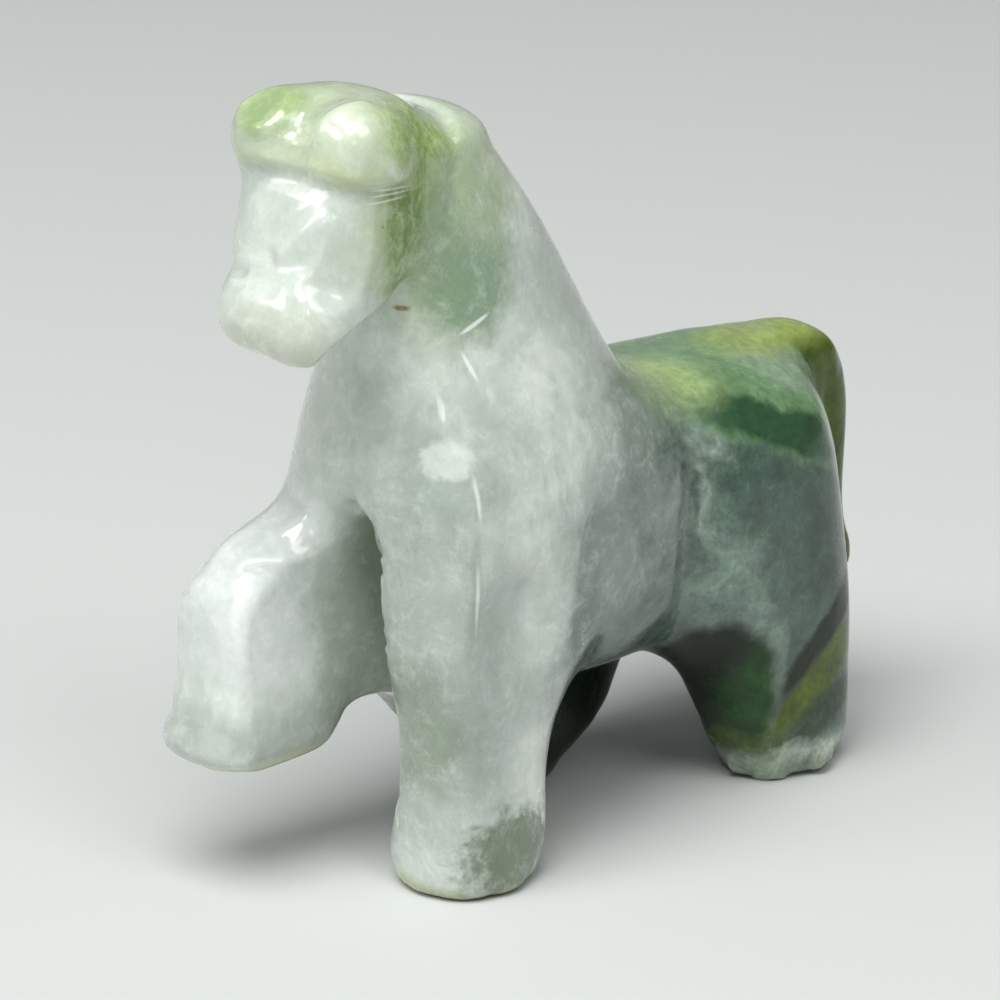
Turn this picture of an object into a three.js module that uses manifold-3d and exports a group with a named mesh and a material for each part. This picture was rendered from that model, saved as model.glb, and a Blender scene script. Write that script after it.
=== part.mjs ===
// A small jade horse, walking with its right foreleg lifted, carved from one piece of stone.
// Millimetres. +Z is up, the horse faces -Y and its left side is +X. It stands on three flat soles.
import * as THREE from "three";
import { mergeVertices } from "three/addons/utils/BufferGeometryUtils.js";
import Module from "manifold-3d";

const wasm = await Module();
wasm.setup();

// ---- Driving dimensions -------------------------------------------------------------------------
// The trunk. The chest's front is at CHEST_Y, and lengths along the horse run back from there.
const CHEST_Y = -17.2;
const TRUNK_LENGTH = 39;
const TRUNK_WIDTH = 17.4;
const BACK_HEIGHT = 27.8;
const BELLY_HEIGHT = 9.6;

// The neck, from the trunk up to the poll, the point between the ears.
const POLL_HEIGHT = 49.6;
const POLL_REACH = 0.4; // how far the poll stands behind the chest's front
const NECK_WIDTH = 11.6;
const NECK_BASE_DEPTH = 21;

// The head, which hangs down and forward from the poll and turns to the horse's left.
const HEAD_LENGTH = 12.4;
const HEAD_WIDTH = 12.6;
const HEAD_DROP_DEG = 62; // below level
const HEAD_TURN_DEG = 8;
const MUZZLE_WIDTH = 8.8;
const JAW_RISE_DEG = 31; // the jaw's ground underside, above level
const JAW_HEIGHT = 35; // of that underside, below the middle of the muzzle

// The legs.
const FORE_HOOF_WIDTH = 8;
const HIND_HOOF_WIDTH = 7;
const HOOF_DEPTH = 8.4;
const LEG_SPREAD = 10.4; // between the middles of the left and right legs
const SOLE_ROUND = 1.4; // how far the rounding at a sole's edge reaches up the hoof
const LIFT = 7.9; // the lifted hoof's height off the ground
const LIFT_REACH = 3.8; // the middle of the lifted hoof, ahead of the chest's front
const FORE_STEP = 4.9; // the standing forehoof's middle, behind the chest's front
const HIND_STEP = 32.3; // the left hind hoof's middle, behind the chest's front
const HIND_STRIDE = 15; // the right hind hoof is this far ahead of the left one

// The groove between the forelegs, and the slot that a grinding disc leaves in it.
const GROOVE_WIDTH = 3.4;
const DISC_RADIUS = 15;
const SLOT_WIDTH = 2.4;
const SLOT_INSET = 1.6; // how far the groove reaches into the standing leg's inner side
const SLOT_TOP = 24.4;
const SLOT_DEPTH = 3.6; // into the chest, at the height of the disc's middle

// The tail, a band laid down the rump.
const TAIL_WIDTH = 5.4;
const TAIL_THICKNESS = 3.4;
const TAIL_TIP_HEIGHT = 8.2;

// The skin's mesh. Grid lines stand closer together round the head.
const COARSE_STEP = 1.6;
const FINE_STEP = 1.1;

// ---- Shapes as fields ---------------------------------------------------------------------------
// A field gives the distance from a point to a shape's surface: negative inside, positive outside.

// A rounded block with half sizes a, b and c. Squareness 2 is an ellipsoid, and 4 is nearly a box.
function blockDistance(x, y, z, a, b, c, squareness) {
  const n = squareness;
  const u = Math.abs(x) / a;
  const v = Math.abs(y) / b;
  const w = Math.abs(z) / c;
  const reach = (u ** n + v ** n + w ** n) ** (1 / n);
  if (reach < 1e-6) return -Math.min(a, b, c);
  const slope = Math.hypot(u ** (n - 1) / a, v ** (n - 1) / b, w ** (n - 1) / c) * reach ** (1 - n);
  return (reach - 1) / slope;
}

function block([cx, cy, cz], [a, b, c], squareness = 2.5) {
  return (p) => blockDistance(p.x - cx, p.y - cy, p.z - cz, a, b, c, squareness);
}

// A smooth value between the stations of a column of sections, by a Catmull-Rom curve.
function between(stations, key, at) {
  let i = 0;
  while (i < stations.length - 2 && at > stations[i + 1].at) i += 1;
  const near = (k) => stations[Math.min(Math.max(k, 0), stations.length - 1)];
  const [a, b, c, d] = [near(i - 1), near(i), near(i + 1), near(i + 2)];
  const t = (at - b.at) / (c.at - b.at);
  const slopeB = (c[key] - a[key]) / (c.at - a.at);
  const slopeC = (d[key] - b[key]) / (d.at - b.at);
  const span = c.at - b.at;
  return (
    (2 * t ** 3 - 3 * t ** 2 + 1) * b[key] +
    (t ** 3 - 2 * t ** 2 + t) * span * slopeB +
    (3 * t ** 2 - 2 * t ** 3) * c[key] +
    (t ** 3 - t ** 2) * span * slopeC
  );
}

// Sections stacked up an axis, "y" or "z". Each station has its place on the axis (at), its middle
// (x and mid) and its half sizes (wide and deep). Both ends are rounded over by cap.
function column(axis, stations, cap, squareness = 2.8) {
  const first = stations[0].at;
  const last = stations[stations.length - 1].at;
  return (p) => {
    const s = axis === "z" ? p.z : p.y;
    const v = axis === "z" ? p.y : p.z;
    const at = Math.min(Math.max(s, first), last);
    const x = between(stations, "x", at);
    const mid = between(stations, "mid", at);
    const wide = between(stations, "wide", at);
    const deep = between(stations, "deep", at);
    return blockDistance(p.x - x, v - mid, s - at, wide, deep, cap, squareness);
  };
}

// A band along a curve, as wide as wide across x and as thick as thick, tapering to its end.
function band(points, wide, thick, taper) {
  const steps = 32;
  const spine = new THREE.CatmullRomCurve3(points).getSpacedPoints(steps);
  const links = spine.slice(1).map((end, i) => new THREE.Line3(spine[i], end));
  const near = new THREE.Vector3();
  return (p) => {
    let best = Infinity;
    links.forEach((link, i) => {
      const t = link.closestPointToPointParameter(p, true);
      link.at(t, near).sub(p);
      const size = 1 - taper * ((i + t) / steps) ** 2;
      const off = Math.hypot(near.y, near.z);
      best = Math.min(best, blockDistance(near.x, off, 0, wide * size, thick * size, 1, 2.4));
    });
    return best;
  };
}

// Shapes melted together over about the distance soft.
function melt(soft, ...fields) {
  return (p) =>
    fields
      .map((f) => f(p))
      .reduce((a, b) => {
        const h = Math.max(soft - Math.abs(a - b), 0) / soft;
        return Math.min(a, b) - (h * h * soft) / 4;
      });
}

// A shape with another one cut out of it, and the cut's rim softened over about the distance soft.
function carve(soft, field, tool) {
  return (p) => {
    const [a, b] = [field(p), -tool(p)];
    const h = Math.max(soft - Math.abs(a - b), 0) / soft;
    return Math.max(a, b) + (h * h * soft) / 4;
  };
}

// ---- The horse ----------------------------------------------------------------------------------
const half = (size) => size / 2;
const rumpY = CHEST_Y + TRUNK_LENGTH;
const legX = half(LEG_SPREAD);
const reach = half(HOOF_DEPTH);
const standX = legX - 0.6;
const standInside = standX - half(FORE_HOOF_WIDTH);

function trunk() {
  const middle = half(BACK_HEIGHT + BELLY_HEIGHT);
  const tall = half(BACK_HEIGHT - BELLY_HEIGHT);
  const wide = half(TRUNK_WIDTH);
  const cap = 9;
  return column(
    "y",
    [
      { at: CHEST_Y + cap, x: 0, mid: middle + 0.4, wide: wide - 0.6, deep: tall },
      { at: CHEST_Y + 0.45 * TRUNK_LENGTH, x: 0, mid: middle + 0.1, wide, deep: tall },
      { at: CHEST_Y + 0.56 * TRUNK_LENGTH, x: 0, mid: middle, wide: wide - 0.7, deep: tall - 0.1 },
      { at: rumpY - 14, x: 0, mid: middle, wide: wide - 0.4, deep: tall - 0.2 },
      { at: rumpY - cap, x: 0, mid: middle, wide: wide - 1.2, deep: tall - 0.5 },
    ],
    cap,
    2.6,
  );
}

function chest() {
  const top = BACK_HEIGHT + 4.5;
  const low = BELLY_HEIGHT + 3;
  const size = [half(TRUNK_WIDTH) - 1.1, 7.4, half(top - low)];
  return block([0.5, CHEST_Y + 7.7, half(top + low)], size, 3);
}

function neck() {
  const front = CHEST_Y + 0.4;
  const section = (k, depth, width, back = 0) => ({
    at: THREE.MathUtils.lerp(BACK_HEIGHT - 1.5, POLL_HEIGHT - 3, k),
    x: 0,
    mid: front + half(depth) + back,
    wide: half(width),
    deep: half(depth),
  });
  return column(
    "z",
    [
      section(0, NECK_BASE_DEPTH, NECK_WIDTH + 3),
      section(0.35, NECK_BASE_DEPTH - 4, NECK_WIDTH + 1),
      section(0.68, NECK_BASE_DEPTH - 8.2, NECK_WIDTH - 0.4),
      section(0.94, NECK_BASE_DEPTH - 11.8, NECK_WIDTH - 1.8, -0.5),
    ],
    2.4,
    2.4,
  );
}

// The head is shaped in a frame of its own: y runs up the face to the poll and z stands out of the
// forehead.
const poll = new THREE.Vector3(-0.4, CHEST_Y + POLL_REACH, POLL_HEIGHT - 4.8);
const turn = THREE.MathUtils.degToRad(HEAD_TURN_DEG);

function head() {
  const toHead = new THREE.Matrix4()
    .setPosition(poll)
    .multiply(new THREE.Matrix4().makeRotationZ(turn))
    .multiply(new THREE.Matrix4().makeRotationX(THREE.MathUtils.degToRad(HEAD_DROP_DEG)))
    .invert();
  const muzzleAt = 3 - HEAD_LENGTH;
  const wide = half(HEAD_WIDTH);
  const skull = column(
    "y",
    [
      { at: muzzleAt, x: 0, mid: 0.2, wide: half(MUZZLE_WIDTH) - 0.3, deep: 3 },
      { at: 0.6 * muzzleAt, x: 0, mid: 0, wide: wide - 1.3, deep: 4.4 },
      { at: 0, x: 0, mid: -0.4, wide: wide - 0.9, deep: 5.4 },
    ],
    2.6,
    2.8,
  );
  const muzzle = block([0, muzzleAt, 0.6], [half(MUZZLE_WIDTH), 3, 3.9], 2.8);
  const shape = melt(0.8, skull, muzzle);
  const rise = THREE.MathUtils.degToRad(JAW_RISE_DEG);
  const chinY = poll.y + Math.cos(THREE.MathUtils.degToRad(HEAD_DROP_DEG)) * muzzleAt - 1;
  const underJaw = (p) => (p.z - JAW_HEIGHT) * Math.cos(rise) - (p.y - chinY) * Math.sin(rise);
  const q = new THREE.Vector3();
  return carve(0.5, (p) => shape(q.copy(p).applyMatrix4(toHead)), underJaw);
}

// The forelock: a cap with two lumps that overhangs the face.
function forelock() {
  const upright = new THREE.Vector3(0, 0, 1);
  const place = (x, y, z) => new THREE.Vector3(x, y, z).applyAxisAngle(upright, turn).add(poll).toArray();
  const cap = block(place(0, -0.8, 1.6), [half(HEAD_WIDTH) - 1.2, 3.9, 3], 2.6);
  const lump = (side) => block(place(0.2 + side * 2.7, -2.9, 1.8), [3, 2.9, 2.8], 2.3);
  return melt(0.8, cap, lump(-1), lump(1));
}

// A leg that stands on the ground. Each section above the sole gives its height, how far it reaches
// ahead of and behind the sole's middle, and how much wider than the hoof it is on each side.
function standingLeg(x, sole, hoofWidth, sections) {
  return column(
    "z",
    [
      { at: SOLE_ROUND - 0.3, x, mid: sole, wide: half(hoofWidth), deep: reach },
      ...sections.map(([at, ahead, behind, wide]) => ({
        at,
        x,
        mid: sole + half(behind - ahead),
        wide: half(hoofWidth) + wide,
        deep: half(ahead + behind),
      })),
    ],
    SOLE_ROUND,
    3.4,
  );
}

function leftForeleg() {
  return standingLeg(standX, CHEST_Y + FORE_STEP, FORE_HOOF_WIDTH, [
    [4, reach - 0.1, reach + 0.3, 0],
    [6.4, reach, reach + 0.6, -0.4],
    [BELLY_HEIGHT, reach + 0.1, reach + 1.4, -0.4],
    [BELLY_HEIGHT + 7, reach, reach + 2.6, -0.2],
    [BELLY_HEIGHT + 14, reach - 1.4, reach + 2, -1.6],
  ]);
}

function leftHindLeg() {
  const sole = CHEST_Y + HIND_STEP;
  const leg = standingLeg(legX + 0.7, sole, HIND_HOOF_WIDTH, [
    [3, reach + 1, reach + 0.2, 0],
    [6.5, reach + 2.8, reach + 0.3, 0],
    [BELLY_HEIGHT + 1, reach + 3, reach + 0.1, 0.2],
    [BELLY_HEIGHT + 5, reach + 4, reach - 0.8, 0],
    [BELLY_HEIGHT + 12, reach + 2, reach - 3.4, -2],
  ]);
  return melt(3, leg, block([legX - 1, sole - 3.6, 16.4], [4.4, 7.4, 8.4], 2.4));
}

function rightHindLeg() {
  const sole = CHEST_Y + HIND_STEP - HIND_STRIDE;
  const leg = standingLeg(-legX, sole, HIND_HOOF_WIDTH, [
    [3, reach + 0.6, reach + 3.8, 0],
    [5.2, reach + 2.4, reach + 5.4, 0.1],
    [7.4, reach + 4.4, reach + 6.2, 0.2],
    [BELLY_HEIGHT + 1.5, reach + 7, reach + 8, 0.2],
    [BELLY_HEIGHT + 8, reach + 4, reach + 8, -1],
  ]);
  return melt(3, leg, block([-legX + 1.2, sole + 10, 17], [4.4, 10, 8.4], 2.5));
}

function liftedForeleg() {
  const middle = CHEST_Y - LIFT_REACH;
  const shin = column(
    "z",
    [
      { at: LIFT + 1.2, x: -legX - 0.3, mid: middle + 0.3, wide: 4.3, deep: 5.2 },
      { at: LIFT + 4.6, x: -legX - 0.1, mid: middle + 0.9, wide: 4, deep: 4.5 },
      { at: LIFT + 9, x: -legX - 0.1, mid: middle + 1.2, wide: 3.9, deep: 4.3 },
    ],
    1.4,
    3.4,
  );
  const forearm = block([-legX + 0.4, CHEST_Y + 0.2, 16.4], [3.8, 6.8, 5.8], 2.9);
  return melt(2.5, shin, forearm);
}

// The hollow between the forelegs. The disc cuts a little further into the standing one.
const grooveSide = standInside + SLOT_INSET;

function groove() {
  const low = LIFT - 4;
  const middle = [grooveSide - half(GROOVE_WIDTH), CHEST_Y - 3, half(SLOT_TOP + low)];
  return block(middle, [half(GROOVE_WIDTH), 5 + SLOT_DEPTH, half(SLOT_TOP - low)], 2.5);
}

// The tail is left standing out of the rump, so behind it is solid stone down to the thighs.
function tail() {
  const thick = half(TAIL_THICKNESS);
  const at = (behind, height) => new THREE.Vector3(0, rumpY + behind, height);
  const lock = band(
    [
      at(-7, BACK_HEIGHT - thick - 1),
      at(-3, BACK_HEIGHT - thick - 0.7),
      at(1.4, BACK_HEIGHT - thick - 1.3),
      at(3, BACK_HEIGHT - 6),
      at(3.3, BACK_HEIGHT - 14),
      at(4.6, TAIL_TIP_HEIGHT + thick),
    ],
    half(TAIL_WIDTH),
    thick,
    0.25,
  );
  const core = column(
    "z",
    [
      { at: TAIL_TIP_HEIGHT + 3, x: 0, mid: rumpY - 1.2, wide: half(TAIL_WIDTH) - 0.6, deep: 3.4 },
      { at: BACK_HEIGHT - 12, x: 0, mid: rumpY - 2.6, wide: half(TAIL_WIDTH) + 0.4, deep: 4.6 },
      { at: BACK_HEIGHT - 5, x: 0, mid: rumpY - 3, wide: half(TAIL_WIDTH), deep: 4.8 },
    ],
    2.4,
  );
  return melt(1.5, lock, core);
}

const legs = [leftForeleg(), leftHindLeg(), rightHindLeg(), liftedForeleg()];
const body = melt(3, melt(4, trunk(), chest(), neck()), ...legs);
const horse = melt(1.2, melt(2, carve(2, body, groove()), tail()), melt(0.8, head(), forelock()));

// ---- The skin over a field ----------------------------------------------------------------------
// Grid lines from low to high, closer together inside the fine stretches.
function gridLines(low, high, ...fine) {
  const lines = [low];
  while (lines[lines.length - 1] < high) {
    const at = lines[lines.length - 1];
    const isFine = fine.some(([from, to]) => at >= from && at < to);
    lines.push(at + (isFine ? FINE_STEP : COARSE_STEP));
  }
  return lines;
}

// The twelve edges of a cell, by the corner that each starts from and its axis. A corner's number
// has one bit for each axis.
const cellEdges = [0, 1, 2, 3, 4, 5, 6, 7].flatMap((from) =>
  [0, 1, 2].filter((axis) => !((from >> axis) & 1)).map((axis) => [from, axis]),
);

// The sheets of surface that pass through a cell, each as the list of edges that it crosses. Where
// a face of the cell has four crossings, the two beside one inside corner belong together.
function sheetsOf(inside) {
  const crossed = cellEdges.filter(([from, axis]) => inside[from] !== inside[from | (1 << axis)]);
  const sheet = crossed.map((_, n) => n);
  const insideEnd = ([from, axis]) => (inside[from] ? from : from | (1 << axis));
  for (let across = 0; across < 3; across += 1)
    for (const side of [0, 1]) {
      const onFace = (n) => crossed[n][1] !== across && ((crossed[n][0] >> across) & 1) === side;
      const here = sheet.map((_, n) => n).filter(onFace);
      for (const m of here)
        for (const n of here) {
          if (here.length > 2 && insideEnd(crossed[m]) !== insideEnd(crossed[n])) continue;
          const [keep, drop] = [sheet[m], sheet[n]];
          sheet.forEach((s, k) => {
            if (s === drop) sheet[k] = keep;
          });
        }
    }
  return [...new Set(sheet)].map((s) => crossed.filter((_, n) => sheet[n] === s));
}

// A skin over the field's surface: one vertex for each sheet in each cell of the grid, moved onto
// the surface itself, and one square for each grid edge that the surface crosses.
function skin(field, xs, ys, zs) {
  const lines = [xs, ys, zs];
  const stride = [1, xs.length, xs.length * ys.length];
  const p = new THREE.Vector3();
  const value = new Float32Array(xs.length * ys.length * zs.length);
  const eachCell = (margin, visit) => {
    for (let k = 0; k < zs.length - margin; k += 1)
      for (let j = 0; j < ys.length - margin; j += 1)
        for (let i = 0; i < xs.length - margin; i += 1)
          visit([i, j, k], i * stride[0] + j * stride[1] + k * stride[2]);
  };
  eachCell(0, ([i, j, k], here) => {
    value[here] = field(p.set(xs[i], ys[j], zs[k]));
  });

  const positions = [];
  const vertexAt = new Map();
  const edgeKey = (cell, from, axis) => cell * 24 + from * 3 + axis;
  eachCell(1, (place, here) => {
    const step = (n) => ((n & 1) * stride[0] + ((n >> 1) & 1) * stride[1] + (n >> 2) * stride[2]);
    const at = [0, 1, 2, 3, 4, 5, 6, 7].map((n) => value[here + step(n)]);
    const inside = at.map((v) => v < 0);
    if (inside.every((v) => v === inside[0])) return;
    for (const sheet of sheetsOf(inside)) {
      const middle = [0, 0, 0];
      for (const [from, axis] of sheet) {
        const t = at[from] / (at[from] - at[from | (1 << axis)]);
        for (let a = 0; a < 3; a += 1) {
          const n = place[a] + ((from >> a) & 1);
          const low = lines[a][n];
          middle[a] += a === axis ? THREE.MathUtils.lerp(low, lines[a][n + 1], t) : low;
        }
        vertexAt.set(edgeKey(here, from, axis), positions.length / 3);
      }
      p.fromArray(middle).divideScalar(sheet.length);
      positions.push(...onSurface(field, p).toArray());
    }
  });

  const faces = [];
  eachCell(1, (place, here) => {
    for (let axis = 0; axis < 3; axis += 1) {
      const inside = value[here] < 0;
      if (inside === value[here + stride[axis]] < 0) continue;
      const [u, v] = [(axis + 1) % 3, (axis + 2) % 3];
      const around = [(1 << u) | (1 << v), 1 << v, 0, 1 << u];
      const [a, b, c, d] = around.map((from) => {
        const cell = here - ((from >> u) & 1) * stride[u] - ((from >> v) & 1) * stride[v];
        return vertexAt.get(edgeKey(cell, from, axis));
      });
      if (inside) faces.push(a, b, c, a, c, d);
      else faces.push(a, c, b, a, d, c);
    }
  });

  return new THREE.BufferGeometry()
    .setAttribute("position", new THREE.Float32BufferAttribute(positions, 3))
    .setIndex(faces);
}

function onSurface(field, p) {
  const step = 0.05;
  for (let n = 0; n < 4; n += 1) {
    const along = (axis) => {
      const ahead = p.clone();
      const behind = p.clone();
      ahead[axis] += step;
      behind[axis] -= step;
      return (field(ahead) - field(behind)) / (2 * step);
    };
    const slope = new THREE.Vector3(along("x"), along("y"), along("z"));
    const move = THREE.MathUtils.clamp(field(p) / Math.max(slope.lengthSq(), 0.1), -0.4, 0.4);
    p.addScaledVector(slope, -move);
  }
  return p;
}

// ---- Cutting ------------------------------------------------------------------------------------
function solid(geometry) {
  const bare = geometry.clone();
  bare.deleteAttribute("normal");
  bare.deleteAttribute("uv");
  const merged = mergeVertices(bare, 1e-4);
  return new wasm.Manifold(
    new wasm.Mesh({
      numProp: 3,
      vertProperties: merged.attributes.position.array,
      triVerts: new Uint32Array(merged.index.array),
    }),
  );
}

function geometryOf(body) {
  const mesh = body.getMesh();
  return new THREE.BufferGeometry()
    .setAttribute("position", new THREE.BufferAttribute(new Float32Array(mesh.vertProperties), 3))
    .setIndex(new THREE.BufferAttribute(new Uint32Array(mesh.triVerts), 1));
}

// Everything below the ground, which leaves the soles flat.
function belowGround() {
  return new THREE.BoxGeometry(200, 200, 20).translate(0, 0, -10);
}

// The grinding disc, standing on edge against the standing foreleg, its axle across the horse.
function disc() {
  const centreY = CHEST_Y + SLOT_DEPTH - DISC_RADIUS;
  return new THREE.CylinderGeometry(DISC_RADIUS, DISC_RADIUS, SLOT_WIDTH, 72)
    .rotateZ(Math.PI / 2)
    .translate(grooveSide + 0.6 - half(SLOT_WIDTH), centreY, half(SLOT_TOP));
}

const wide = half(TRUNK_WIDTH) + 4;
const across = gridLines(-wide, wide, [-7, 7]);
const along = gridLines(CHEST_Y - 12, rumpY + 8, [CHEST_Y - 12, CHEST_Y + 5]);
const up = gridLines(-1.5, POLL_HEIGHT + 4, [-1.5, 2], [BACK_HEIGHT + 4, POLL_HEIGHT + 4]);
const stone = solid(skin(horse, across, along, up));
const carved = geometryOf(stone.subtract(solid(disc())).subtract(solid(belowGround())));

// The origin is under the middle of the horse's outline, on the ground.
carved.computeBoundingBox();
const centre = carved.boundingBox.getCenter(new THREE.Vector3());
carved.translate(-centre.x, -centre.y, 0);
carved.computeVertexNormals();

const jade = new THREE.MeshStandardMaterial({ color: 0xb9c7bd, roughness: 0.18, metalness: 0 });
const figure = new THREE.Group();
const carving = new THREE.Mesh(carved, jade);
carving.name = "carved_jade_horse";
figure.add(carving);

export default figure;
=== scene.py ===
import math

import bmesh
import bpy
import numpy as np
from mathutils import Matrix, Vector


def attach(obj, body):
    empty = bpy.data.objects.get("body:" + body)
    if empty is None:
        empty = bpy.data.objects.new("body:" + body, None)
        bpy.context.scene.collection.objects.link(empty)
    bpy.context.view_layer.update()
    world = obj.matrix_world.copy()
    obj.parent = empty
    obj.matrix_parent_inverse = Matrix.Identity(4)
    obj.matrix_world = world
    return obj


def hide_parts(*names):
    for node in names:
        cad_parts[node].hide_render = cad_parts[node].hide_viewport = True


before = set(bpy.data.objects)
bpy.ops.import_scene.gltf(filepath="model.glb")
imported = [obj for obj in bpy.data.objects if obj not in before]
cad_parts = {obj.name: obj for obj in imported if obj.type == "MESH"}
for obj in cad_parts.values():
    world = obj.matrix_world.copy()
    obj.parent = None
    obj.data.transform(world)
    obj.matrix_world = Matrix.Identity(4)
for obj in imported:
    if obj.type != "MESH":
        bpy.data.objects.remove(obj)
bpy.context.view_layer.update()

# ---- The camera ----------------------------------------------------------------------------------
# A long lens close to the figure, above its left shoulder and turned towards its face.
AZIMUTH = math.radians(44)
ELEVATION = math.radians(19)
DISTANCE = 0.300
AIM = Vector((0.0013, -0.0069, 0.0218))

back = Vector(
    (
        math.sin(AZIMUTH) * math.cos(ELEVATION),
        -math.cos(AZIMUTH) * math.cos(ELEVATION),
        math.sin(ELEVATION),
    )
)
camera = bpy.data.objects.new("camera", bpy.data.cameras.new("camera"))
camera.data.lens = 178.2
camera.data.sensor_width = 36
camera.data.clip_start = 0.01
camera.location = AIM + DISTANCE * back
camera.rotation_euler = back.to_track_quat("Z", "Y").to_euler()
bpy.context.scene.collection.objects.link(camera)
bpy.context.scene.camera = camera

# ---- The horse's shape ---------------------------------------------------------------------------
# The whole figure is one piece of jade: roughed out with saw cuts, ground round on small wheels and
# polished. The skin starts from the carved solid, then takes the marks of each wheel in turn.
# Places are in millimetres, as they are on the solid.
CRISP_ANGLE = math.radians(38)

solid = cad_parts["carved_jade_horse"]
skin = bmesh.new()
skin.from_mesh(solid.data)
bmesh.ops.remove_doubles(skin, verts=skin.verts, dist=2e-6)
crease = skin.edges.layers.float.new("crease_edge")
for edge in skin.edges:
    slotside = all(v.co.z > 0.002 and abs(v.co.x) < 0.003 and v.co.y < -0.012 for v in edge.verts)
    if slotside and edge.calc_face_angle(0) > CRISP_ANGLE:
        edge[crease] = 0.8
bmesh.ops.join_triangles(
    skin,
    faces=skin.faces,
    angle_face_threshold=math.radians(35),
    angle_shape_threshold=math.radians(60),
)
rough = bpy.data.meshes.new("rough_horse")
skin.to_mesh(rough)
skin.free()
shaping = bpy.data.objects.new("rough_horse", rough)
bpy.context.scene.collection.objects.link(shaping)
smooth = shaping.modifiers.new("smooth", "SUBSURF")
smooth.levels = smooth.render_levels = 2
evaluated = shaping.evaluated_get(bpy.context.evaluated_depsgraph_get())
horse_mesh = bpy.data.meshes.new_from_object(evaluated)
horse_mesh.name = "jade_horse"
bpy.data.objects.remove(shaping)

skin_at = np.empty(len(horse_mesh.vertices) * 3)
skin_out = np.empty_like(skin_at)
horse_mesh.vertices.foreach_get("co", skin_at)
horse_mesh.vertices.foreach_get("normal", skin_out)
skin_at = skin_at.reshape(-1, 3) * 1000
skin_out = skin_out.reshape(-1, 3)


def eased(amount):
    amount = np.clip(amount, 0, 1)
    return amount * amount * (3 - 2 * amount)


def curved(path, steps=6):
    """More points along a smooth curve through the given ones."""
    path = [np.array(p, float) for p in path]
    ends = [2 * path[0] - path[1], *path, 2 * path[-1] - path[-2]]
    points = []
    for a, b, c, d in zip(ends, ends[1:], ends[2:], ends[3:]):
        for t in np.arange(steps) / steps:
            points.append(
                b + 0.5 * t * (c - a + t * (2 * a - 5 * b + 4 * c - d + t * (3 * (b - c) + d - a)))
            )
    return [*points, path[-1]]


def wheel(path, width, depth, sharp=1.0):
    """A groove ground along a path. A negative depth leaves a ridge. It fades out at both ends."""
    points = curved(path) if len(path) > 2 else [np.array(p, float) for p in path]
    away = np.full(len(skin_at), 99.0)
    run = np.zeros(len(skin_at))
    for n, (start, end) in enumerate(zip(points, points[1:])):
        step = end - start
        t = np.clip((skin_at - start) @ step / (step @ step), 0, 1)
        far = np.linalg.norm(skin_at - start - t[:, None] * step, axis=1)
        run = np.where(far < away, (n + t) / (len(points) - 1), run)
        away = np.minimum(away, far)
    fade = eased(np.minimum(run, 1 - run) * 5 + 0.15)
    cut = depth * eased(1 - away / width) ** sharp * fade
    skin_at[:] -= skin_out * cut[:, None]


def hone(spot, facing, reach, sink=0.0):
    """A facet ground flat: skin that stands above a plane near the spot comes down to the plane."""
    facing = np.array(facing, float) / np.linalg.norm(facing)
    spot = np.array(spot, float)
    above = np.maximum((skin_at - spot) @ facing + sink, 0)
    near = eased(2.2 * (1 - np.linalg.norm(skin_at - spot, axis=1) / reach))
    facing_it = eased(2 * (skin_out @ facing))
    skin_at[:] -= np.outer(above * near * facing_it, facing)


def swell(spot, reach, height):
    """Stone left standing proud, round a spot."""
    near = eased(1 - np.linalg.norm(skin_at - np.array(spot, float), axis=1) / reach)
    skin_at[:] += skin_out * (height * near)[:, None]


# The hooves: each foot is rounded to an even outline, by keeping only the slow waves of its rim.
SOLE_MIDDLES = ((4.5, -13.3), (-5.2, -0.8), (5.8, 14.0))
HOOF_REACH = 7
HOOF_HEIGHT = 3
RIM_SECTORS = 36
RIM_WAVES = 4
for middle in SOLE_MIDDLES:
    offset = skin_at[:, :2] - middle
    turn = np.arctan2(offset[:, 1], offset[:, 0])
    reach = np.hypot(offset[:, 0], offset[:, 1])
    foot = (reach < HOOF_REACH) & (skin_at[:, 2] < HOOF_HEIGHT)
    sole = foot & (skin_at[:, 2] < 0.2)
    sectors = np.linspace(-math.pi, math.pi, RIM_SECTORS, endpoint=False)
    rim = np.array([reach[sole][np.cos(turn[sole] - way) > 0.985].max() for way in sectors])
    rim_waves = np.fft.rfft(rim)
    rim_waves[RIM_WAVES:] = 0
    even = np.fft.irfft(rim_waves, RIM_SECTORS)
    growth = np.interp(turn, sectors, even / rim, period=2 * math.pi) - 1
    growth *= eased(1 - skin_at[:, 2] / HOOF_HEIGHT) * foot
    skin_at[:, :2] += offset * growth[:, None]

# The forelock: two lumps with a valley between, a lip over the brow and a step down to the mane.
swell((3.6, -21.9, 47.9), 3.2, 0.2)
swell((-1.6, -23.0, 48.0), 2.6, 0.25)
swell((5.2, -19.4, 46.2), 2.4, 0.3)
wheel([(0.5, -19.6, 49.6), (0.3, -21.4, 49.1), (0.4, -22.8, 48.1), (0.3, -23.2, 47.2)], 1.8, 0.4)
hone((-2.2, -22.6, 48.9), (-0.2, -0.5, 0.85), 2.6, 0.35)
wheel([(-2.4, -23.9, 47.5), (-0.8, -23.3, 47.8), (-0.3, -22.2, 48.7), (-0.9, -20.8, 49.3)], 0.6, -0.22)
wheel([(2.2, -23.2, 47.6), (3.0, -21.9, 49.0), (3.6, -19.6, 49.2)], 0.9, -0.25)
brow = [(-3.6, -23.5, 45.2), (-1.4, -23.5, 45.1), (1.4, -23.1, 45.0), (3.6, -22.6, 44.9)]
brow += [(5.0, -21.3, 44.6), (5.5, -19.4, 44.4), (5.3, -17.8, 44.6)]
wheel(brow, 1.0, 0.28)
wheel([(x, y, z + 0.9) for x, y, z in brow], 1.0, -0.2)
mane_step = [(-2.6, -13.6, 47.6), (0, -13.2, 48.0), (2.2, -13.2, 47.7)]
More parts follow.
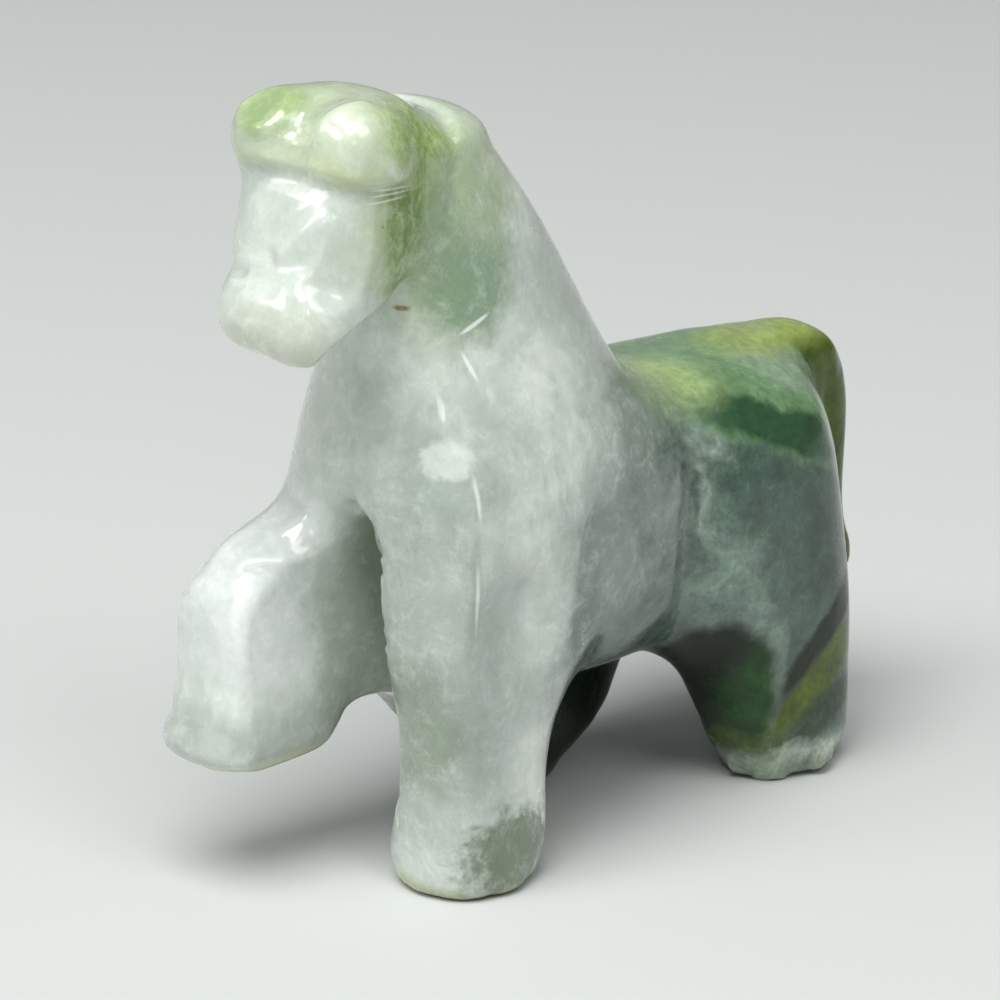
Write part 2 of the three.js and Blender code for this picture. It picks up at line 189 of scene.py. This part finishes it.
mane_step += [(4.1, -14.1, 46.7), (4.9, -14.2, 45.4)]
wheel(mane_step, 0.8, 0.3)
wheel([(5.0, -14.3, 45.6), (5.3, -14.4, 43.6), (5.2, -14.9, 41.8)], 1.2, 0.4)
wheel([(-5.6, -14.4, 46.6), (-5.8, -14.9, 44.0), (-5.6, -15.4, 41.8)], 1.2, 0.4)

# The face: one ridge down the nose, the near cheek ground flat, and the muzzle stepped off.
hone((4.3, -22.5, 41.6), (0.84, -0.53, 0.08), 4.2, 0.25)
wheel([(0.4, -24.8, 40.6), (1.5, -24.3, 41.4), (2.5, -23.6, 42.6), (3.4, -22.8, 43.5)], 1.3, -0.35)
wheel([(-6.0, -22.6, 39.3), (-4.2, -24.4, 39.4), (-3.0, -25.1, 39.5), (-0.6, -25.4, 39.7)], 0.8, 0.42)
hone((1.0, -26.2, 38.8), (0.12, -0.82, 0.56), 2.4, 0.3)
swell((2.4, -24.7, 35.2), 2.8, 0.45)
hone((4.4, -22.8, 36.3), (0.65, 0.29, -0.7), 3.0, 0.1)
hone((-0.6, -26.5, 36.2), (-0.15, -0.9, -0.4), 2.6, 0.1)
wheel([(5.0, -20.6, 40.3), (5.1, -19.4, 41.4)], 0.5, 0.12)
wheel([(5.0, -20.2, 39.8), (5.1, -18.9, 40.9)], 0.5, 0.12)

# The lifted foreleg, ground in four faces with soft edges.
hone((-5.4, -21.6, 21.9), (-0.05, -0.42, 0.9), 4.2, 0.2)
hone((-5.3, -25.6, 16.0), (-0.02, -1.0, 0.05), 5.5, 0.15)
hone((-1.7, -21.5, 15.5), (1.0, -0.1, 0.05), 6.0, 0.15)
wheel([(-4.4, -23.8, 20.5), (-2.9, -22.5, 20.8), (-1.7, -20.8, 20.8), (-1.1, -18.9, 21.4)], 0.7, -0.25)
wheel([(-3.8, -23.9, 20.3), (-2.7, -24.9, 18.4), (-2.4, -25.2, 15.0), (-2.2, -25.5, 12.0)], 0.8, -0.2)
wheel([(-9.4, -24.6, 11.2), (-8.8, -25.6, 10.8), (-5.6, -26.3, 10.6), (-2.6, -25.9, 10.8)], 1.4, 0.25)

# The standing foreleg: a fissured front, a flat outer side and a small facet on the shoulder.
swell((1.3, -18.3, 24.3), 1.4, 0.3)
hone((6.5, -16.8, 27.9), (0.62, -0.7, 0.36), 1.5, 0.18)
hone((8.6, -12.6, 16.0), (1.0, -0.12, 0.0), 6.0, 0.15)
wheel([(7.9, -15.3, 26.4), (8.3, -15.8, 22.0), (8.4, -15.9, 18.0), (8.2, -15.8, 13.2)], 0.6, 0.12)
wheel([(7.0, -17.3, 5.6), (8.4, -15.6, 5.4), (8.7, -12.8, 5.3), (8.6, -9.8, 5.2)], 1.0, 0.12)
wheel([(9.2, -8.3, 13.0), (9.3, -8.0, 17.6), (9.2, -7.2, 21.2), (9.1, -6.1, 23.2)], 1.1, 0.4)
for height in np.arange(6.4, 22.5, 1.1):
    chip = 0.6 + 0.35 * math.sin(7 * height)
    wheel([(2.8, -18.6, height - 0.4), (2.8, -18.0, height + 0.3)], chip, 0.22 * chip)

# The trunk: creases behind the ribs and down each side of the tail.
wheel([(7.2, 4.6, 24.6), (8.2, 3.0, 20.0), (7.9, 2.9, 15.0), (6.6, 4.1, 11.2)], 1.9, 0.4)
wheel([(-7.4, 4.6, 24.4), (-8.4, 3.0, 20.0), (-7.9, 3.2, 15.0)], 1.9, 0.35)
beside_tail = [(2.4, 15, 27.3), (3.0, 19, 26.6), (3.2, 21, 23), (3, 21.4, 15)]
for side in (-1, 1):
    wheel([(side * x, y, z) for x, y, z in beside_tail], 1.0, 0.35)
wheel([(0.2, 24.0, 26.4), (0.4, 26.8, 21.0), (-0.3, 26.4, 15.0), (0.3, 26.6, 11.5)], 0.7, 0.2)

horse_mesh.vertices.foreach_set("co", (skin_at / 1000).ravel())
horse_mesh.update()
horse = bpy.data.objects.new("jade_horse", horse_mesh)
bpy.context.scene.collection.objects.link(horse)
horse_mesh.shade_smooth()

# ---- The stone -----------------------------------------------------------------------------------
# Polished jade, milky at the head and forelegs and green towards the tail. Light goes a little way
# into it. Clouds, veins and stains run through the stone, so all of them are placed in space. Painted
# shade and painted highlights set among the stains are placed the same way.
jade = bpy.data.materials.new("jade")
jade.use_nodes = True
tree = jade.node_tree
tree.nodes.clear()


def srgb(code):
    """A colour from its six hex digits."""
    parts = [int(code[i : i + 2], 16) / 255 for i in (0, 2, 4)]
    linear = [c / 12.92 if c <= 0.04045 else ((c + 0.055) / 1.055) ** 2.4 for c in parts]
    return (*linear, 1)


def add(tree, kind, values=None, **settings):
    """A node with its settings and its inputs. An input is a value, or a socket to link from."""
    node = tree.nodes.new(kind)
    for name, value in settings.items():
        setattr(node, name, value)
    for name, value in (values or {}).items():
        if isinstance(value, bpy.types.NodeSocket):
            tree.links.new(value, node.inputs[name])
        else:
            node.inputs[name].default_value = value
    return node


def maths(tree, operation, *values):
    return add(tree, "ShaderNodeMath", dict(enumerate(values)), operation=operation).outputs[0]


def vectors(tree, operation, *values):
    return add(tree, "ShaderNodeVectorMath", dict(enumerate(values)), operation=operation).outputs[0]


def noise(tree, at, scale, detail, roughness=0.5, distortion=0.0):
    values = {"Vector": at, "Scale": scale, "Detail": detail}
    values |= {"Roughness": roughness, "Distortion": distortion}
    return add(tree, "ShaderNodeTexNoise", values)


def spread(tree, value, low, high, to_low=0.0, to_high=1.0):
    """A value's range from low to high, eased and moved to another range."""
    values = {"Value": value, "From Min": low, "From Max": high, "To Min": to_low, "To Max": to_high}
    return add(tree, "ShaderNodeMapRange", values, interpolation_type="SMOOTHSTEP").outputs[0]


def tint(tree, base, code, amount):
    """A colour with some of another one in it."""
    values = {0: amount, 6: base, 7: srgb(code)}
    return add(tree, "ShaderNodeMix", values, data_type="RGBA").outputs[2]


# A patch: a turned block, nearly round, with a soft and ragged edge. It marks stains in the stone and
# also painted shade and painted highlights. It is placed in millimetres and turned in radians.
patch = bpy.data.node_groups.new("patch_mask", "ShaderNodeTree")
PATCH_INPUTS = {
    "Place": "NodeSocketVector",
    "Centre": "NodeSocketVector",
    "Reach": "NodeSocketVector",
    "Turn": "NodeSocketVector",
    "Soft": "NodeSocketFloat",
    "Ragged": "NodeSocketFloat",
    "Grain": "NodeSocketFloat",
    "Square": "NodeSocketFloat",
}
for name, kind in PATCH_INPUTS.items():
    patch.interface.new_socket(name, in_out="INPUT", socket_type=kind)
patch.interface.new_socket("Mask", in_out="OUTPUT", socket_type="NodeSocketFloat")
given = patch.nodes.new("NodeGroupInput").outputs
offset = vectors(patch, "SUBTRACT", given["Place"], given["Centre"])
turned = add(
    patch,
    "ShaderNodeVectorRotate",
    {"Vector": offset, "Rotation": given["Turn"]},
    rotation_type="EULER_XYZ",
    invert=True,
)
shares = add(
    patch,
    "ShaderNodeSeparateXYZ",
    {0: vectors(patch, "ABSOLUTE", vectors(patch, "DIVIDE", turned.outputs[0], given["Reach"]))},
)
powers = [maths(patch, "POWER", share, given["Square"]) for share in shares.outputs]
total = maths(patch, "ADD", maths(patch, "ADD", powers[0], powers[1]), powers[2])
radius = maths(patch, "POWER", total, maths(patch, "DIVIDE", 1.0, given["Square"]))
wander = noise(patch, given["Place"], given["Grain"], 4.0, 0.62).outputs[0]
pushed = maths(patch, "MULTIPLY_ADD", maths(patch, "SUBTRACT", wander, 0.5), given["Ragged"], radius)
inner = maths(patch, "SUBTRACT", 1.0, given["Soft"])
outer = maths(patch, "ADD", 1.0, given["Soft"])
fade = spread(patch, pushed, inner, outer, 1.0, 0.0)
patch.links.new(fade, patch.nodes.new("NodeGroupOutput").inputs["Mask"])

own_place = add(tree, "ShaderNodeTexCoord").outputs["Object"]
raw_place = vectors(tree, "MULTIPLY", own_place, (1000, 1000, 1000))
drift = noise(tree, raw_place, 0.2, 3.0).outputs["Color"]
drift = vectors(tree, "MULTIPLY", vectors(tree, "SUBTRACT", drift, (0.5, 0.5, 0.5)), (2.4, 2.4, 2.4))
place = vectors(tree, "ADD", raw_place, drift)
hanging = vectors(tree, "MULTIPLY", place, (1.0, 1.0, 0.36))

# The milky ground: soft clouds, and fainter veils that hang down through them.
clouds = noise(tree, place, 0.13, 4.0, 0.55).outputs[0]
ground = add(tree, "ShaderNodeValToRGB", {"Fac": clouds})
ground.color_ramp.elements[0].position = 0.34
ground.color_ramp.elements[0].color = srgb("b1bbb2")
ground.color_ramp.elements[1].position = 0.64
ground.color_ramp.elements[1].color = srgb("d8dfd7")
colour = ground.outputs["Color"]
veils = noise(tree, hanging, 0.5, 6.0, 0.62, 0.4).outputs[0]
colour = tint(tree, colour, "9faba2", spread(tree, veils, 0.52, 0.72, 0.0, 0.5))
colour = tint(tree, colour, "e6ebe4", spread(tree, veils, 0.46, 0.3, 0.0, 0.45))

# The stains, from the largest to the smallest: colour, strength, centre, reach, then what differs
# from a level, fairly soft patch. Angles are in degrees. Some entries are painted shade and painted
# highlights rather than stains, each marked where it stands.
STAINS_AND_PAINTED_LIGHT = {
    "grey_green_rear": ("3f5649", 0.97, (0, 18, 13), (22, 21, 24), {"soft": 0.28, "grain": 0.25}),
    # Painted shade: the lower side of the belly, darkened.
    "painted_belly_shade": ("3a4e42", 0.8, (8, -1.0, 11), (5, 8, 4.8), {"soft": 0.4, "ragged": 0.7}),
    "groin_pale": ("7f9286", 0.6, (8.8, 5.6, 14), (2.5, 3, 5), {"turn": (20, 0, 0), "soft": 0.4}),
    "haunch_dark": (
        "31463a", 0.75, (9, 15.0, 16), (4, 3.4, 5),
        {"turn": (20, 0, 0), "soft": 0.4, "ragged": 0.9},
    ),
    # Partly dark stone and partly painted shade: the far legs and the underside of the trunk, near black.
    "dark_stone_and_painted_shade_under": ("0c1707", 0.97, (-4.5, 3.5, 3), (7.5, 16, 8.8), {"soft": 0.2, "ragged": 0.35}),
    # Painted shade: the front of the near hind leg, under the belly, darkened nearly to black.
    "painted_shade_hind_front": ("0d1a07", 1.0, (6.2, 6.4, 6.4), (5, 4.1, 5.8), {"soft": 0.14, "ragged": 0.3}),
    "hind_olive": (
        "4c5e02", 1.0, (9, 14.4, 7.2), (3.0, 6.4, 1.7),
        {"turn": (36, 0, 0), "soft": 0.3, "ragged": 0.8},
    ),
    "hind_low_dark": (
        "2b3b26", 0.75, (9, 15.0, 4.4), (3.4, 4.6, 1.4),
        {"turn": (20, 0, 0), "soft": 0.5, "ragged": 0.6},
    ),
    "hind_dark_line": ("101d0c", 1.0, (9.2, 14.4, 9.9), (2.8, 6.6, 1.1), {"turn": (36, 0, 0), "soft": 0.4}),
    "hind_pale_edge": ("7c8c80", 0.5, (9.2, 9.8, 9.0), (2.2, 0.7, 4.0), {"soft": 0.6, "ragged": 0.9}),
    "hind_deep_green": ("1f4a1a", 0.8, (8.0, 8.4, 6.4), (2.4, 1.4, 3.4), {"soft": 0.5}),
    "hind_moss": ("4f6127", 0.75, (6.8, 8.2, 2.8), (3.2, 3.2, 1.1), {"soft": 0.5}),
    "hind_hoof_pale": ("8c9a86", 0.92, (8.5, 12.5, 0), (4.6, 8, 2.3), {"soft": 0.25, "ragged": 0.6}),
    "hind_hoof_vein": (
        "c9d3c5", 0.5, (9.3, 12.6, 2.0), (1, 3.6, 0.5),
        {"turn": (-10, 0, 0), "soft": 0.7, "ragged": 2.4, "grain": 1.2},
    ),
    "back_green": (
        "66875f", 0.97, (0, 13, 32), (14, 14, 10),
        {"turn": (-24.5, 0, 0), "square": 5.0, "soft": 0.05, "ragged": 0.22, "grain": 0.5},
    ),
    # Painted sheen: a lighter patch on the top of the back.
    "painted_back_sheen": (
        "8fa08c", 0.6, (4.2, 14.6, 26.6), (3, 3.6, 1.8),
        {"turn": (-30, 0, 0), "soft": 0.5, "ragged": 1.0},
    ),
    "back_band": ("1b4326", 0.9, (8, 11, 23.7), (3.6, 8.6, 1.3), {"turn": (-24.5, 0, 0), "ragged": 0.8}),
    "neck_back_milk": ("b4beb4", 0.9, (0, -3.5, 36), (9, 6.5, 6.5), {"soft": 0.3, "ragged": 0.8}),
    "withers_yellow": ("a6ba7a", 0.8, (3.8, 3.6, 28), (4, 4.8, 2.4), {"soft": 0.5, "ragged": 0.35}),
    "patch_rim": ("bcc8bb", 0.3, (7.4, 0.8, 26.0), (2, 4.6, 0.4), {"turn": (-31, 0, 0), "soft": 0.5}),
    "tail_olive": (
        "3f5000", 0.97, (0.2, 26, 17), (3.3, 7.2, 13),
        {"turn": (10, 0, 0), "square": 5.0, "soft": 0.06, "ragged": 0.12},
    ),
    # Partly lighter olive stone and partly painted highlight, along the top of the tail.
    "tail_top_olive_and_painted_highlight": ("8c9e54", 0.9, (1.2, 18.2, 27.8), (3, 6.4, 2.4), {"soft": 0.35, "ragged": 0.4}),
    "cap_green": ("a9b98e", 0.7, (0, -20.5, 49.4), (8.5, 6, 4.4), {"ragged": 0.4}),
    "far_lump_green": ("92ad6c", 0.75, (-2.4, -22.6, 49), (2, 2.2, 1.4), {"soft": 0.35, "grain": 0.8}),
    "near_lump_milk": ("d3dcc8", 0.6, (3.6, -21.9, 48), (2.0, 2.2, 2.0), {"soft": 0.5, "ragged": 0.8}),
    "cheek_green": ("a5b690", 0.5, (4.6, -20.6, 41.5), (2, 2.2, 3.6), {"soft": 0.5, "ragged": 0.8}),
    "cheek_aura": ("9fb574", 0.7, (5.2, -17.0, 43), (2.6, 3.6, 8), {"soft": 0.45, "ragged": 0.8}),
    "cap_fibres": ("749322", 0.95, (5, -16.6, 46.2), (2.6, 3.2, 4.8), {"soft": 0.5, "fibrous": True}),
    "cheek_moss": ("547600", 1.0, (5, -18.3, 41.2), (2.1, 1.6, 4.9), {"soft": 0.5, "fibrous": True}),
    "neck_green": ("82997a", 0.8, (5.8, -13.8, 40), (3, 3.4, 5.4), {"soft": 0.3, "ragged": 0.7}),
    "neck_green_tip": ("6f9070", 0.45, (5.8, -13.8, 37.8), (2.4, 2.6, 2.6), {"soft": 0.6, "ragged": 0.9}),
    "mane_green": ("a9b998", 0.65, (3.5, -11.6, 44.8), (4.5, 3.5, 4.5), {"soft": 0.4, "ragged": 0.8}),
    "withers_grey": ("6a7c6e", 0.6, (6.5, 0.5, 26), (4, 5, 4), {"soft": 0.5, "ragged": 0.9}),
    "leg_grey": (
        "88948b", 0.65, (5, -16.5, 15), (5.4, 4.4, 13),
        {"soft": 0.4, "ragged": 0.8, "grain": 0.3},
    ),
    "chest_grey": ("97a298", 0.4, (-0.5, -18.6, 27), (6, 5, 6), {"soft": 0.4, "ragged": 0.8}),
    "rib_grey": ("5d6c62", 0.7, (8.5, -2.5, 18.5), (4, 6, 8), {"soft": 0.5, "ragged": 0.8}),
    "lip_yellow": ("b9c48e", 0.6, (1, -22.4, 45.7), (6, 2.6, 0.8), {"soft": 0.5, "ragged": 0.6}),
    # Painted shade: the ribs just behind the standing foreleg's rear edge, darkened.
    "painted_leg_back_shade": ("55645a", 0.6, (9.2, -7.2, 14), (1.6, 1.5, 6.5), {"soft": 0.6, "ragged": 0.7}),
    # Painted highlight: a pale spot on the facet at the front of the shoulder.
    "painted_shoulder_highlight": ("eaf0ea", 0.45, (6.4, -16.6, 27.8), (1.5, 1.5, 1.1), {"ragged": 1.3, "grain": 0.9}),
    "lifted_milk": ("e2e6e4", 0.55, (-4.6, -21, 18), (6, 6, 6), {"soft": 0.4, "ragged": 0.6}),
    "lifted_grey": ("a3aaa2", 0.6, (-5.4, -22, 9.4), (6, 7, 2.6), {"soft": 0.5, "ragged": 0.8}),
    "face_milk": ("c6cfc5", 0.55, (0, -23.5, 40.5), (4.6, 3, 6), {"soft": 0.4, "ragged": 0.4}),
    "muzzle_cream": ("c2c5b0", 0.55, (1.6, -25, 35.4), (4.4, 2.5, 2.6), {"soft": 0.5}),
    "flank_vein": (
        "a9b8ac", 0.4, (7.9, 3.9, 21.0), (1.2, 0.3, 2.4),
        {"soft": 0.8, "ragged": 2.0, "grain": 1.3},
    ),
    "leg_green": ("7f8d78", 0.7, (4.5, -17.4, 11), (3, 2, 4.4), {"soft": 0.4, "ragged": 0.8}),
    # Partly greener stone and partly painted shade, in the slot between the forelegs.
    "slot_green_and_painted_shade": ("8c9984", 0.7, (-0.4, -14, 15), (2.6, 6, 10), {"soft": 0.3, "ragged": 0.5}),
    "hoof_green": (
        "57694a", 0.85, (8.2, -12.9, 2.6), (3.2, 3.9, 2.6),
        {"ragged": 1.8, "soft": 0.4, "grain": 0.9},
    ),
    "hoof_rim": ("8f9a4c", 0.6, (5, -13.3, 0), (6, 7, 0.9), {"soft": 0.35, "ragged": 0.5}),
    "lifted_rim": ("b6bd8a", 0.6, (-5.4, -21.5, 7.9), (6, 8, 0.8), {"soft": 0.4, "ragged": 0.6}),
    "jaw_speck": ("7c6c12", 0.95, (3.2, -17.0, 36.5), (0.7, 0.3, 0.16), {"soft": 0.5, "grain": 3.0}),
    # Painted highlights: two pale strokes on small ridges of the throat.
    "painted_neck_glint": ("f4f8f2", 0.8, (5.6, -13.5, 35.3), (0.6, 1.0, 0.13), {"turn": (28, 0, 0), "soft": 0.4}),
    "painted_low_glint": ("f4f8f2", 0.8, (5.9, -14.2, 32.9), (0.5, 0.13, 1.15), {"turn": (17, 0, 0), "soft": 0.4}),
    # Painted highlights: pale strokes along the fissures on the standing foreleg's front corner.
    "leg_fissure_painted_highlight": ("e9efe7", 0.7, (8.1, -15.6, 25.6), (0.8, 0.12, 1.3), {"soft": 0.6, "grain": 2.0}),
    "low_fissure_painted_highlight": ("e9efe7", 0.7, (8.3, -15.9, 19.4), (0.8, 0.13, 1.8), {"soft": 0.6, "grain": 2.0}),
}
fibres = noise(tree, vectors(tree, "MULTIPLY", raw_place, (1.7, 1.7, 0.8)), 0.8, 8.0, 0.8).outputs[0]
fibres = spread(tree, fibres, 0.38, 0.62, 0.2, 1.0)
masks = {}
for name, (code, strength, centre, reach, rest) in STAINS_AND_PAINTED_LIGHT.items():
    mark = add(tree, "ShaderNodeGroup", {}, node_tree=patch, label=name)
    mark.inputs["Centre"].default_value = centre
    mark.inputs["Reach"].default_value = reach
    mark.inputs["Turn"].default_value = [math.radians(angle) for angle in rest.get("turn", (0, 0, 0))]
    mark.inputs["Soft"].default_value = rest.get("soft", 0.25)
    mark.inputs["Ragged"].default_value = rest.get("ragged", 0.5)
    mark.inputs["Grain"].default_value = rest.get("grain", 0.4)
    mark.inputs["Square"].default_value = rest.get("square", 2.2)
    tree.links.new(place if max(reach) > 2 else raw_place, mark.inputs["Place"])
    masks[name] = mark.outputs["Mask"]
    amount = maths(tree, "MULTIPLY", masks[name], strength)
    if rest.get("fibrous"):
        amount = maths(tree, "MULTIPLY", amount, fibres)
    colour = tint(tree, colour, code, amount)

# Scratches that the wheel left beside the brow, and dark specks.
for height in (44.55, 44.25, 43.9):
    scratch = add(tree, "ShaderNodeGroup", {}, node_tree=patch, label="brow_scratch")
    scratch.inputs["Centre"].default_value = (5.2, -19.9 + 0.5 * (height - 44), height)
    scratch.inputs["Reach"].default_value = (1.2, 1.3, 0.06)
    scratch.inputs["Turn"].default_value = (-0.12 * (height - 44), 0, 0)
    scratch.inputs["Soft"].default_value = 0.5
    scratch.inputs["Square"].default_value = 2.0
    tree.links.new(raw_place, scratch.inputs["Place"])
    colour = tint(tree, colour, "f4f8f0", maths(tree, "MULTIPLY", scratch.outputs["Mask"], 0.6))
for spot in ((4.9, -20.3, 42.4), (4.7, -19.9, 40.2), (5.1, -17.9, 42.2), (-1.2, -23.6, 47.1)):
    gap = add(tree, "ShaderNodeVectorMath", {0: raw_place, 1: spot}, operation="DISTANCE").outputs["Value"]
    colour = tint(tree, colour, "35452c", spread(tree, gap, 0.14, 0.06))

# Mottling over every colour, stronger in the green stone, and thin pale feathers.
rear = maths(tree, "MAXIMUM", masks["grey_green_rear"], masks["back_green"])
mottles = noise(tree, place, 0.5, 8.0, 0.7, 0.2).outputs[0]
sway = maths(tree, "MULTIPLY_ADD", masks["grey_green_rear"], 0.75, 0.12)
sway = maths(tree, "MULTIPLY_ADD", masks["back_green"], -0.5, sway)
sway = maths(tree, "MULTIPLY", sway, 3.0)
gain = maths(tree, "MULTIPLY_ADD", maths(tree, "SUBTRACT", mottles, 0.48), sway, 1.0)
grain = spread(tree, noise(tree, place, 1.4, 6.0, 0.75).outputs[0], 0.3, 0.7, -1.0, 1.0)
grain = maths(tree, "MULTIPLY", grain, maths(tree, "MULTIPLY_ADD", rear, 0.16, 0.05))
gain = maths(tree, "MULTIPLY", gain, maths(tree, "ADD", grain, 1.0))
colour = add(tree, "ShaderNodeVectorMath", {0: colour, "Scale": gain}, operation="SCALE").outputs[0]
thread = noise(tree, hanging, 0.8, 4.0, 0.6, 1.6).outputs[0]
thread = spread(tree, maths(tree, "ABSOLUTE", maths(tree, "SUBTRACT", thread, 0.5)), 0.0, 0.03, 1.0, 0.0)
thread = maths(tree, "MULTIPLY", thread, spread(tree, clouds, 0.42, 0.56, 0.0, 0.1))
thread = maths(tree, "MULTIPLY", thread, maths(tree, "SUBTRACT", 1.0, rear))
colour = tint(tree, colour, "eef2ec", thread)

# The surface: a wavy polish with fine scratches.
ripple = noise(tree, raw_place, 0.5, 2.0).outputs[0]
scratches = noise(tree, vectors(tree, "MULTIPLY", raw_place, (1.0, 1.0, 0.3)), 7.0, 4.0, 0.6).outputs[0]
waves = add(tree, "ShaderNodeBump", {"Height": ripple, "Strength": 1.0, "Distance": 0.00008})
surface = add(
    tree,
    "ShaderNodeBump",
    {"Height": scratches, "Strength": 0.4, "Distance": 0.00002, "Normal": waves.outputs[0]},
)

# Dark stone shines less: its clear outer polish thins out. The polish also thins out over the painted
# shade under the trunk and on the front of the near hind leg.
dark = maths(tree, "MAXIMUM", masks["dark_stone_and_painted_shade_under"], masks["painted_shade_hind_front"])
LESS_SHINE = {
    "hind_low_dark": 1.0,
    "hind_dark_line": 1.0,
    "tail_olive": 1.0,
    "hind_olive": 0.8,
    "grey_green_rear": 0.45,
}
for name, share in LESS_SHINE.items():
    dark = maths(tree, "MAXIMUM", dark, maths(tree, "MULTIPLY", masks[name], share))

# Pale flecks in the milky stone, then the polished stone itself.
flecks = spread(tree, noise(tree, place, 0.8, 8.0, 0.75).outputs[0], 0.48, 0.8, 0.0, 0.4)
flecks = maths(tree, "MULTIPLY", flecks, maths(tree, "SUBTRACT", 1.0, rear))
flecks = maths(tree, "MULTIPLY", flecks, maths(tree, "SUBTRACT", 1.0, dark))
colour = tint(tree, colour, "e9eee7", flecks)
shader = add(
    tree,
    "ShaderNodeBsdfPrincipled",
    {
        "Base Color": colour,
        "Specular IOR Level": 0.25,
        "Roughness": spread(tree, mottles, 0.35, 0.7, 0.14, 0.32),
        "Normal": surface.outputs[0],
        "IOR": 1.62,
        "Subsurface Weight": 0.35,
        "Subsurface Radius": (1.0, 1.1, 0.9),
        "Subsurface Scale": 0.0016,
        "Coat Weight": maths(tree, "MULTIPLY_ADD", dark, -0.76, 0.8),
        "Coat Roughness": 0.05,
    },
)
tree.links.new(shader.outputs[0], add(tree, "ShaderNodeOutputMaterial").inputs["Surface"])
horse_mesh.materials.clear()
horse_mesh.materials.append(jade)

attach(horse, "root")
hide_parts("carved_jade_horse")

# ---- The floor and the lights --------------------------------------------------------------------
# A plain pale sweep: a floor that curves up into a wall behind the figure.
sweep = bmesh.new()
profile = [(-1.2, 0.0), (0.7, 0.0)]
profile += [(0.7 + 0.3 * math.sin(a), 0.3 - 0.3 * math.cos(a)) for a in np.linspace(0.1, math.pi / 2, 14)]
profile += [(1.0, 1.6)]
rows = [[sweep.verts.new((x, y, z)) for x in (-1.5, 1.5)] for y, z in profile]
for low, high in zip(rows, rows[1:]):
    sweep.faces.new((low[0], low[1], high[1], high[0]))
floor_mesh = bpy.data.meshes.new("floor")
sweep.to_mesh(floor_mesh)
sweep.free()
floor_mesh.shade_smooth()
floor = bpy.data.objects.new("floor", floor_mesh)
floor.rotation_euler.z = AZIMUTH
bpy.context.scene.collection.objects.link(floor)
paper = bpy.data.materials.new("pale_paper")
paper.use_nodes = True
paper_shader = paper.node_tree.nodes["Principled BSDF"]
paper_shader.inputs["Base Color"].default_value = srgb("c9ccca")
paper_shader.inputs["Roughness"].default_value = 0.7
floor_mesh.materials.append(paper)

LIGHTS = {
    # name: azimuth, elevation, distance, size, watts
    "overhead": (20, 66, 0.7, 0.5, 5.2),
    "front": (-20, 32, 0.8, 0.35, 1.5),
    "side": (82, 48, 0.8, 0.4, 1.4),
    "near_camera": (46, 24, 0.8, 0.12, 0.22),
}
for name, (azimuth, elevation, distance, size, watts) in LIGHTS.items():
    a, e = math.radians(azimuth), math.radians(elevation)
    way = Vector((math.sin(a) * math.cos(e), -math.cos(a) * math.cos(e), math.sin(e)))
    lamp = bpy.data.objects.new(name, bpy.data.lights.new(name, "AREA"))
    lamp.data.shape = "DISK"
    lamp.data.size = size
    lamp.data.energy = watts
    lamp.location = AIM + distance * way
    lamp.rotation_euler = way.to_track_quat("Z", "Y").to_euler()
    bpy.context.scene.collection.objects.link(lamp)
world = bpy.data.worlds.new("studio")
world.use_nodes = True
world.node_tree.nodes["Background"].inputs["Color"].default_value = srgb("dfe3e2")
world.node_tree.nodes["Background"].inputs["Strength"].default_value = 0.25
bpy.context.scene.world = world
bpy.context.scene.view_settings.view_transform = "Standard"
